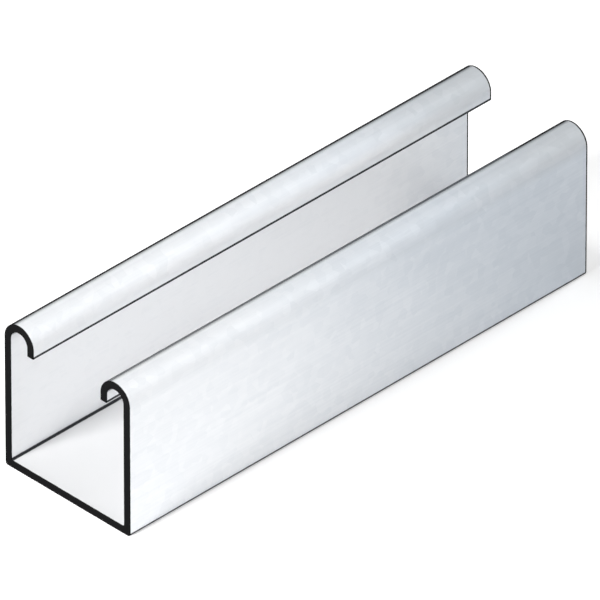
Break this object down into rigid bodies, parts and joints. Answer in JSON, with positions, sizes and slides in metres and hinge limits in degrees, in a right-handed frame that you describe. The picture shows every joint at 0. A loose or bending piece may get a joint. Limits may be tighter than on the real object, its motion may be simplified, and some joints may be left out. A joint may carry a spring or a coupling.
{
  "type": "strut channel",
  "caption": "Plain strut channel of galvanised steel strip: a square trough whose walls curl inwards to lips along an open slot for channel nuts.",
  "frame": {"origin": "on the back of the web, midway across and midway along the cut length", "axes": "+X across the channel to the right wall, +Y along the channel away from the near cut end, +Z from the web's back out through the slot"},
  "size_m": [0.0412, 0.15, 0.0413],
  "materials": {
    "zinc_coated_steel": "smooth mill-galvanised zinc, pale blue-grey, with the cut ends and slit edges dark"
  },
  "bodies": {
    "root": {"channel": "zinc_coated_steel"}
  },
  "joints": []
}
